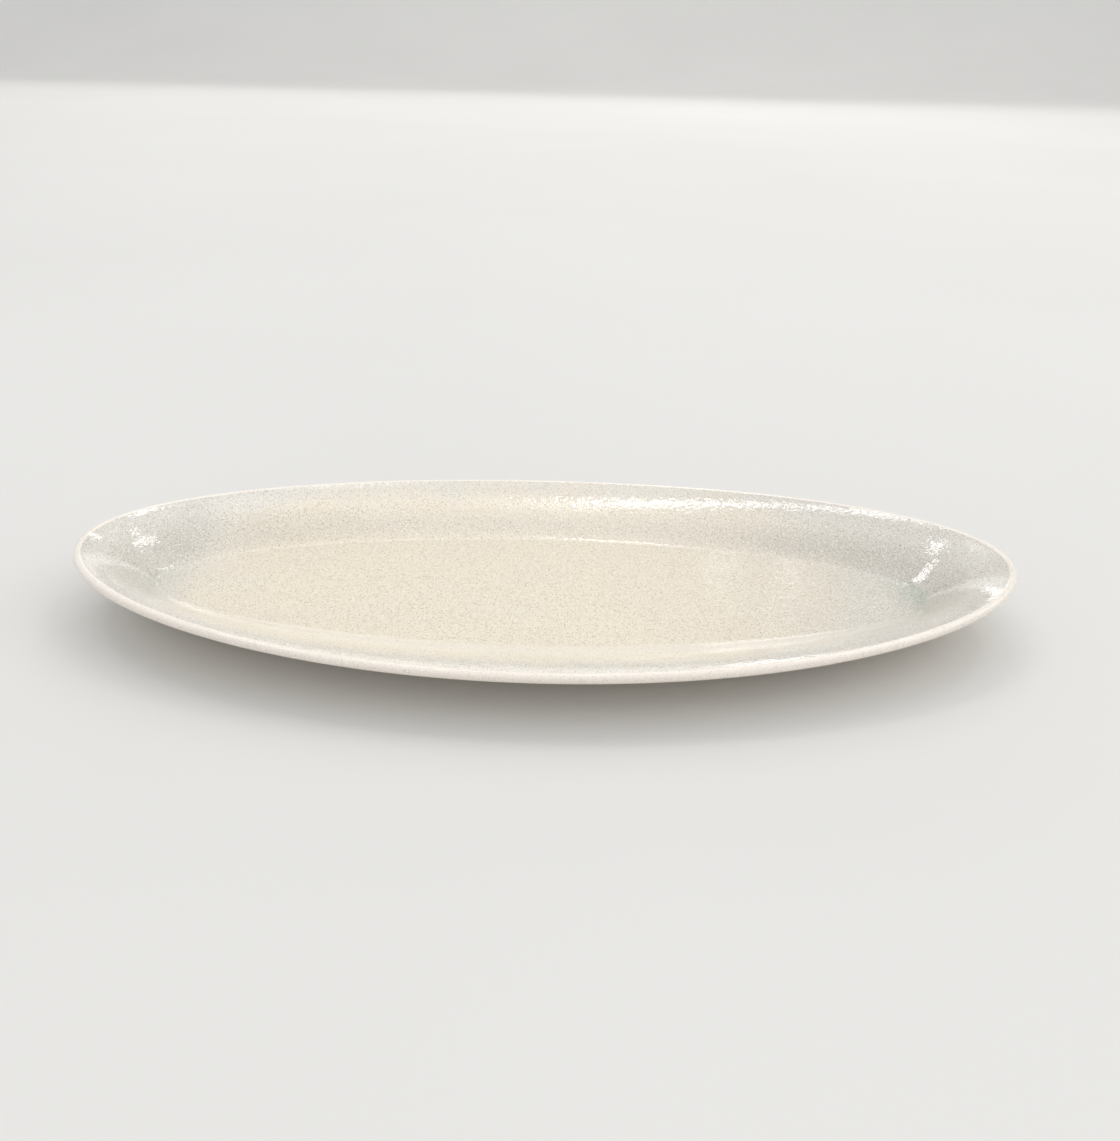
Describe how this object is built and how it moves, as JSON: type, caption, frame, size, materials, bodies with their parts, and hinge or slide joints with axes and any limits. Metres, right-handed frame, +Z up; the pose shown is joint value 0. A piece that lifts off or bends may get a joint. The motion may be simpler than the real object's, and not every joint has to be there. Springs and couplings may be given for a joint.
{
  "type": "serving platter",
  "caption": "Long oval stoneware serving platter with a flat floor, flared walls swept up at both ends, a rounded lip and an oval foot ring, in speckled cream glaze.",
  "frame": {"origin": "on the table plane, under the middle of the dish, at the bottom of the foot ring", "axes": "+Z up, +X along the length of the dish, +Y across it"},
  "size_m": [0.406, 0.178, 0.0308],
  "materials": {
    "body_clay": "fired buff stoneware with fine iron specks",
    "dry_clay": "dry unglazed stoneware, matt and slightly gritty",
    "face_glaze": "gloss, warm cream in the middle and cool grey towards the ends and rim, with fine dark specks",
    "lip_glaze": "gloss, thin and warmer where the glaze breaks over the lip",
    "back_glaze": "gloss, pale grey cream with fine dark specks"
  },
  "bodies": {
    "root": {"clay_body": "body_clay", "foot_ring": "dry_clay", "face_glaze": "face_glaze", "lip_glaze": "lip_glaze", "back_glaze": "back_glaze", "recess_glaze": "back_glaze"}
  },
  "joints": []
}
